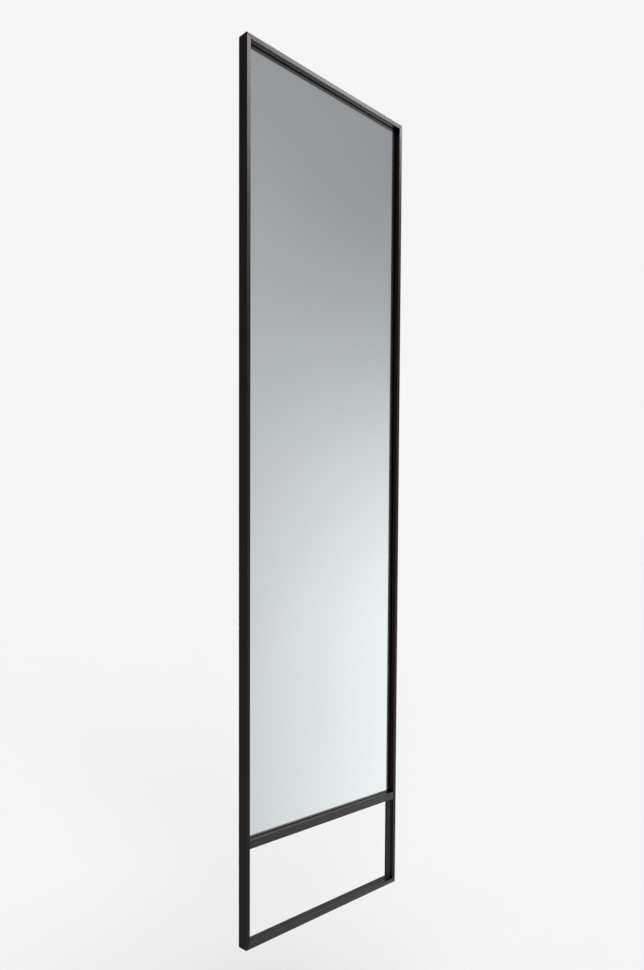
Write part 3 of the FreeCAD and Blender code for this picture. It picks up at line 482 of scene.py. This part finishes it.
# ---------------------------------------------------------------------------
# Turned, rolled and stamped parts, in millimetres about +Z
# ---------------------------------------------------------------------------
AROUND = 48
THREAD_PITCH = 0.7


def ring(radius, height):
    """Points round the axis. The radius and the height are numbers, or follow the angle."""
    points = []
    for step in range(AROUND):
        angle = math.tau * step / AROUND
        out, up = (size(angle) if callable(size) else size for size in (radius, height))
        points.append(Vector((out * math.cos(angle), out * math.sin(angle), up)) * MM)
    return points


def skin(rings, bored=False):
    """A closed skin over rings: with both ends capped, or closed on itself round a bore."""
    builder = bmesh.new()
    loops = [[builder.verts.new(point) for point in points] for points in rings]
    for lower, upper in zip(loops, loops[1:] + (loops[:1] if bored else [])):
        for here, there in zip(range(AROUND), [*range(1, AROUND), 0]):
            builder.faces.new((lower[here], lower[there], upper[there], upper[here]))
    if not bored:
        builder.faces.new(loops[0][::-1])
        builder.faces.new(loops[-1])
    bmesh.ops.recalc_face_normals(builder, faces=builder.faces)
    return builder


def cut(builder, cutter):
    """The builder's solid less the cutter's."""
    stock, tool = (bpy.data.objects.new(name, built_mesh(name, shape))
                   for name, shape in (("stock", builder), ("tool", cutter)))
    for thing in (stock, tool):
        bpy.context.collection.objects.link(thing)
    modifier = stock.modifiers.new("cut", "BOOLEAN")
    modifier.operation = "DIFFERENCE"
    modifier.solver = "EXACT"
    modifier.object = tool
    result = bmesh.new()
    result.from_object(stock, bpy.context.evaluated_depsgraph_get())
    for thing in (stock, tool):
        bpy.data.objects.remove(thing)
    return result


def threaded_rings(radius, low, high):
    """Rings of a rod with a rolled thread, tapered over one pitch at its lower end."""
    pitch, depth, rings_per_turn = THREAD_PITCH, 0.55 * THREAD_PITCH, 6
    count = round((high - low) / pitch * rings_per_turn)
    rings = []
    for step in range(count + 1):
        height = low + (high - low) * step / count
        taper = depth * max(0.0, 1.0 - (height - low) / pitch)

        def thread(angle, height=height, taper=taper):
            phase = (height / pitch - angle / math.tau) % 1.0
            return radius - max(taper, depth * abs(2.0 * phase - 1.0))

        rings.append(ring(thread, height))
    return rings


def threaded_stud(radius, length):
    """A weld stud: a rolled thread from its foot to its tapered end."""
    builder = skin(threaded_rings(radius, -length, 0.0))
    bmesh.ops.rotate(builder, verts=builder.verts, matrix=Matrix.Rotation(math.pi, 3, "X"))
    return builder


def hex_nut(across_flats, height, bore):
    """A nut whose chamfer cuts the corners of the hexagon in the usual curved arcs."""
    face, sink, slope = 0.48 * across_flats, 0.3, math.tan(math.radians(30))

    def hexagon(angle):
        return across_flats / 2 / math.cos(angle % math.radians(60) - math.radians(30))

    def drop(angle):
        return (hexagon(angle) - face) * slope

    return skin([ring(bore, sink), ring(bore + sink, 0.0), ring(face, 0.0), ring(hexagon, drop),
                 ring(hexagon, lambda angle: height - drop(angle)), ring(face, height),
                 ring(bore + sink, height), ring(bore, height - sink)], bored=True)


def pan_head_screw(head_radius, head_height, radius, length):
    """A pan head with a cross recess, on a threaded shank that ends at the underside of the head."""
    crown, edge, arc_steps = 0.25, 0.9, 6
    rings = threaded_rings(radius, -length, 0.0) + [ring(head_radius, 0.0)]
    for step in range(arc_steps + 1):
        turn = math.pi / 2 * step / arc_steps
        rings.append(ring(head_radius - edge + edge * math.cos(turn),
                          head_height - crown - edge + edge * math.sin(turn)))
    rings.append(ring(head_radius / 4, head_height))
    screw = skin(rings)
    wing, thickness, depth = 0.55 * head_radius, 0.5, 1.2
    top = head_height + crown
    for long, wide in ((wing, thickness), (thickness, wing)):
        low, high = Vector((-long, -wide, head_height - depth)), Vector((long, wide, top))
        screw = cut(screw, slab(low * MM, high * MM, 0.0))
    return screw


def push_on_washer(bore, rim, sheet, height):
    """A spring washer pushed onto a plain pin: a flat rim, and tongues that rise to bite the pin."""
    tongues, tongue_share, slit, fold = 6, 0.6, 0.9, (bore + rim) / 2

    def bite(angle):
        return bore if angle * tongues / math.tau % 1.0 < tongue_share else bore + slit

    return skin([ring(bite, height - sheet), ring(fold, 0.0), ring(rim, 0.0), ring(rim, sheet),
                 ring(fold, sheet), ring(bite, height)], bored=True)


def ball(radius):
    """A lapped ball."""
    builder = bmesh.new()
    bmesh.ops.create_icosphere(builder, subdivisions=3, radius=radius * MM)
    return builder


# ---------------------------------------------------------------------------
# Rows of parts
# ---------------------------------------------------------------------------
SPIN_SEED = 4


def rows_tree():
    """Copies of one part in rows, each spun by chance about its own axis."""
    tree = bpy.data.node_groups.new("rows_of_parts", "GeometryNodeTree")
    for name, kind in (("Part", "Object"), ("Finish", "Material"), ("First Place", "Vector"),
                       ("Axis Turn", "Vector"), ("Number", "Int"), ("Step", "Vector"),
                       ("Rows", "Int"), ("Row Step", "Vector")):
        tree.interface.new_socket(name, in_out="INPUT", socket_type=f"NodeSocket{kind}")
    tree.interface.new_socket("Pieces", in_out="OUTPUT", socket_type="NodeSocketGeometry")
    given = add(tree, "NodeGroupInput").outputs
    row = add(tree, "GeometryNodeMeshLine", {
        "Count": given["Number"], "Start Location": given["First Place"], "Offset": given["Step"]},
        mode="OFFSET")
    across = add(tree, "GeometryNodeMeshLine", {
        "Count": given["Rows"], "Start Location": (0.0, 0.0, 0.0), "Offset": given["Row Step"]},
        mode="OFFSET")
    rows = add(tree, "GeometryNodeInstanceOnPoints", {
        "Points": row.outputs[0], "Instance": across.outputs[0]})
    places = add(tree, "GeometryNodeRealizeInstances", {"Geometry": rows.outputs[0]})
    part = add(tree, "GeometryNodeObjectInfo", {"Object": given["Part"]})
    placed = add(tree, "GeometryNodeInstanceOnPoints", {
        "Points": places.outputs[0], "Instance": part.outputs["Geometry"],
        "Rotation": given["Axis Turn"]})
    # The first two inputs of a random vector are its least and its greatest value.
    spin = add(tree, "FunctionNodeRandomValue", {
        0: (0.0, 0.0, 0.0), 1: (0.0, 0.0, math.tau), "Seed": SPIN_SEED}, data_type="FLOAT_VECTOR")
    spun = add(tree, "GeometryNodeRotateInstances", {
        "Instances": placed.outputs[0], "Rotation": spin.outputs[0], "Local Space": True})
    whole = add(tree, "GeometryNodeRealizeInstances", {"Geometry": spun.outputs[0]})
    finished = add(tree, "GeometryNodeSetMaterial", {
        "Geometry": whole.outputs[0], "Material": given["Finish"]})
    add(tree, "NodeGroupOutput", {"Pieces": finished.outputs[0]})
    return tree


ROWS = rows_tree()


def set_in_rows(name, builder, material, like, replaces=True, **inputs):
    """The part in its rows, as one plain mesh."""
    part = bpy.data.objects.new(f"{name}_part", built_mesh(f"{name}_part", builder))
    holder = bpy.data.objects.new(f"{name}_rows", bpy.data.meshes.new(f"{name}_rows"))
    for thing in (part, holder):
        bpy.context.collection.objects.link(thing)
    modifier = holder.modifiers.new("rows", "NODES")
    modifier.node_group = ROWS
    values = {"Part": part, "Finish": material}
    values.update({key.replace("_", " ").title(): value for key, value in inputs.items()})
    for socket in ROWS.interface.items_tree:
        if socket.in_out == "INPUT":
            modifier[socket.identifier] = values[socket.name]
    holder.update_tag()
    placed = holder.evaluated_get(bpy.context.evaluated_depsgraph_get())
    mesh = bpy.data.meshes.new_from_object(placed)
    for thing in (part, holder):
        bpy.data.objects.remove(thing)
    return new_piece(name, mesh, material, like, replaces)


def solid_boxes(node):
    """Lowest and highest corners of each separate solid of a node, from the foot up and from -X."""
    builder = merged_copy(node)
    left, boxes = set(builder.verts), []
    while left:
        front = [left.pop()]
        reached = [front[0].co.copy()]
        while front:
            for edge in front.pop().link_edges:
                for vertex in edge.verts:
                    if vertex in left:
                        left.remove(vertex)
                        front.append(vertex)
                        reached.append(vertex.co.copy())
        boxes.append([Vector([pick(point[axis] for point in reached) for axis in range(3)])
                      for pick in (min, max)])
    builder.free()
    return sorted(boxes, key=lambda box: (round(box[0].z / MM), round(box[0].x / MM)))


def in_place_of(node, builder, axis, foot, turn):
    """A turned part in place of every solid of a node. Its foot is the low or the high end of the
    solid, or a place between them, along the axis of the part."""
    places = []
    for low, high in solid_boxes(node):
        place = (low + high) / 2
        place[axis] = foot(low[axis], high[axis])
        places.append(place)
    # The solids stand in rows of two.
    pair = 2
    rows = len(places) // pair
    row_step = places[pair] - places[0] if rows > 1 else Vector((0.0, 0.0, 0.0))
    set_in_rows(f"{node}_turned", builder, FINISH_OF[node], node, first_place=places[0],
                axis_turn=turn, number=pair, step=places[1] - places[0], rows=rows, row_step=row_step)


Y, Z = 1, 2
TOWARDS_WALL = (-math.pi / 2, 0.0, 0.0)
DOWNWARDS = (math.pi, 0.0, 0.0)
HEAD_HEIGHT = 1.9

in_place_of("carrier_screws",
            pan_head_screw(head_radius=3.75, head_height=HEAD_HEIGHT, radius=1.95, length=12.2),
            Y, lambda low, high: high - HEAD_HEIGHT * MM, TOWARDS_WALL)
in_place_of("bracket_nuts", hex_nut(across_flats=7.0, height=3.2, bore=2.05),
            Y, lambda low, high: low, TOWARDS_WALL)
in_place_of("weld_studs", threaded_stud(radius=2.0, length=6.5),
            Y, lambda low, high: low, TOWARDS_WALL)
in_place_of("pin_washers", push_on_washer(bore=3.0, rim=5.4, sheet=0.5, height=1.0),
            Z, lambda low, high: high, DOWNWARDS)


def make_balls(cage):
    """The steel balls of a cage, in one row above and one below, each in its pocket."""
    radius, rim, sheet, pitch, per_row = 2.0, 1.0, 0.6, 30.0, 4
    low, high = (Vector(corner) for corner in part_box(cage))
    middle = (low + high) / 2
    first = Vector((middle.x - (per_row - 1) / 2 * pitch * MM, low.y + (rim + radius) * MM,
                    low.z + sheet / 2 * MM))
    across = Vector((0.0, 0.0, high.z - low.z - sheet * MM))
    set_in_rows(f"{cage}_balls", ball(radius), BALL_STEEL, cage, replaces=False, first_place=first,
                axis_turn=(0.0, 0.0, 0.0), number=per_row, step=(pitch * MM, 0.0, 0.0), rows=2,
                row_step=across)


for level in LEVELS:
    for part in ("outer_cage", "inner_cage"):
        make_balls(f"{level}_{part}")


# ---------------------------------------------------------------------------
# Camera, studio and floor
# ---------------------------------------------------------------------------
BACKGROUND = colour("#F5F5F5")
FLOOR_LEVEL = -0.25


def make_camera():
    """Level with the middle of the mirror, close to its leading edge and turned along it."""
    data = bpy.data.cameras.new("camera")
    data.sensor_width = 36.0
    data.lens = 28.206
    data.shift_x = 0.0894
    data.shift_y = 0.103
    data.clip_start = 0.01
    camera = bpy.data.objects.new("camera", data)
    camera.location = (-0.8503, -0.7756, 0.5491)
    tilt, turn = -0.0462, -0.7233
    camera.rotation_euler = (math.pi / 2 + tilt, 0.0, turn)
    bpy.context.collection.objects.link(camera)
    bpy.context.scene.camera = camera


def make_room():
    """A pale backdrop for the eye. For light and reflections, a plain room: a floor, walls that are
    white on the right and grey ahead, a ceiling, and less light from the middle to the left."""
    world = bpy.data.worlds.new("room")
    world.use_nodes = True
    tree = world.node_tree
    tree.nodes.clear()
    direction = add(tree, "ShaderNodeTexCoord").outputs["Generated"]
    parts = add(tree, "ShaderNodeSeparateXYZ", {"Vector": direction}).outputs
    # The turn is the angle from straight ahead of the glass towards the right.
    ahead = add(tree, "ShaderNodeMath", {0: parts["Y"], 1: -1.0}, operation="MULTIPLY").outputs[0]
    turn = add(tree, "ShaderNodeMath", {0: parts["X"], 1: ahead}, operation="ARCTAN2").outputs[0]
    height = add(tree, "ShaderNodeMapRange", {
        "Value": parts["Z"], "From Min": -0.6, "From Max": 0.65}).outputs[0]
    floor, grey, white, ceiling = "#B0B2B5", "#D7DADF", "#F8FDFF", "#989A9E"
    grey_wall = add(tree, "ShaderNodeValToRGB", {"Fac": height}, [
        (0.0, floor), (0.12, grey), (0.32, grey), (1.0, ceiling)])
    white_wall = add(tree, "ShaderNodeValToRGB", {"Fac": height}, [
        (0.0, floor), (0.12, white), (0.37, white), (0.845, ceiling)])
    for wall in (grey_wall, white_wall):
        wall.color_ramp.interpolation = "EASE"
    grey_ends, white_starts = math.radians(43), math.radians(53)
    right = add(tree, "ShaderNodeMapRange", {
        "Value": turn, "From Min": grey_ends, "From Max": white_starts}).outputs[0]
    dimming_starts, dimming_ends = math.radians(40), math.radians(5)
    left = add(tree, "ShaderNodeMapRange", {
        "Value": turn, "From Min": dimming_starts, "From Max": dimming_ends}).outputs[0]
    # Counted from 0, the colour sockets of a Mix node are its inputs 6 and 7 and its output 2.
    first, second, result = 6, 7, 2
    walls = add(tree, "ShaderNodeMix", {0: right, first: grey_wall.outputs[0], second: white_wall.outputs[0]},
                data_type="RGBA").outputs[result]
    dimmed = add(tree, "ShaderNodeMix", {0: left, first: walls, second: colour("#C9CACD")},
                 data_type="RGBA", blend_type="MULTIPLY").outputs[result]
    lit = add(tree, "ShaderNodeBackground", {"Color": dimmed, "Strength": 1.0})
    seen = add(tree, "ShaderNodeBackground", {"Color": BACKGROUND, "Strength": 1.0})
    eye = add(tree, "ShaderNodeLightPath").outputs["Is Camera Ray"]
    surface = add(tree, "ShaderNodeMixShader", {0: eye, 1: lit.outputs[0], 2: seen.outputs[0]})
    add(tree, "ShaderNodeOutputWorld", {"Surface": surface.outputs[0]})
    bpy.context.scene.world = world


def hang_lamp(name, data, travel):
    """A lamp whose light travels along the direction, and which the glass doesn't let through."""
    lamp = bpy.data.objects.new(name, data)
    lamp.rotation_euler = travel.to_track_quat("-Z", "Y").to_euler()
    lamp.visible_transmission = False
    bpy.context.collection.objects.link(lamp)
    return lamp


def make_sun(name, travel, strength, softness):
    """Wide, soft daylight without a reflection of its own. The softness is its angle in degrees."""
    data = bpy.data.lights.new(name, "SUN")
    data.energy = strength
    data.angle = math.radians(softness)
    hang_lamp(name, data, Vector(travel)).visible_glossy = False


def make_sheen(name, power, pieces):
    """A high panel on the right that only draws the sheen on these satin faces."""
    data = bpy.data.lights.new(name, "AREA")
    data.shape = "RECTANGLE"
    data.size, data.size_y = 1.84, 1.6
    data.energy = power
    turn, rise, distance = math.radians(66), math.radians(46), 3.0
    aim = Vector((0.0, 0.0, 1.1))
    away = Vector((math.sin(turn) * math.cos(rise), -math.cos(turn) * math.cos(rise), math.sin(rise)))
    lamp = hang_lamp(name, data, -away)
    lamp.location = aim + distance * away
    lamp.visible_camera = False
    lamp.visible_diffuse = False
    faces = bpy.data.collections.new(f"{name}_faces")
    for piece in pieces:
        faces.objects.link(piece)
    lamp.light_linking.receiver_collection = faces


def make_floor():
    """A large plain floor. Metal and glass reflect the room instead of it."""
    half = 60.0
    mesh = bpy.data.meshes.new("floor")
    corners = [(-half, -half), (half, -half), (half, half), (-half, half)]
    mesh.from_pydata([(x, y, FLOOR_LEVEL) for x, y in corners], [], [(0, 1, 2, 3)])
    floor = bpy.data.objects.new("floor", mesh)
    bpy.context.collection.objects.link(floor)
    material, tree, _ = start_finish("studio_floor")
    # Slightly warm, because the room's light is slightly blue and the floor has to meet the backdrop.
    shader = add(tree, "ShaderNodeBsdfPrincipled", {
        "Base Color": colour("#F5F4F3"), "Roughness": 1.0, "Specular IOR Level": 0.0})
    add(tree, "ShaderNodeOutputMaterial", {"Surface": shader.outputs["BSDF"]})
    mesh.materials.append(material)
    floor.visible_glossy = False
    floor.visible_transmission = False


make_camera()
make_room()
make_sun("key", travel=(0.55, 0.75, -0.35), strength=1.3, softness=40)
make_sun("top", travel=(0.05, 0.1, -1.0), strength=1.86, softness=50)
make_sheen("upright_sheen", 172.0, [eased_pieces[node] for node in ("left_stile", "right_stile")])
make_sheen("level_sheen", 66.0, [eased_pieces[node] for node in ("top_rail", "bottom_rail", "crossbar")])
make_floor()

bpy.context.scene.view_settings.view_transform = "Standard"
# The frame's inner faces are lit by way of glass, silver and glass, and no such path is dropped early.
bpy.context.scene.cycles.min_light_bounces = 4
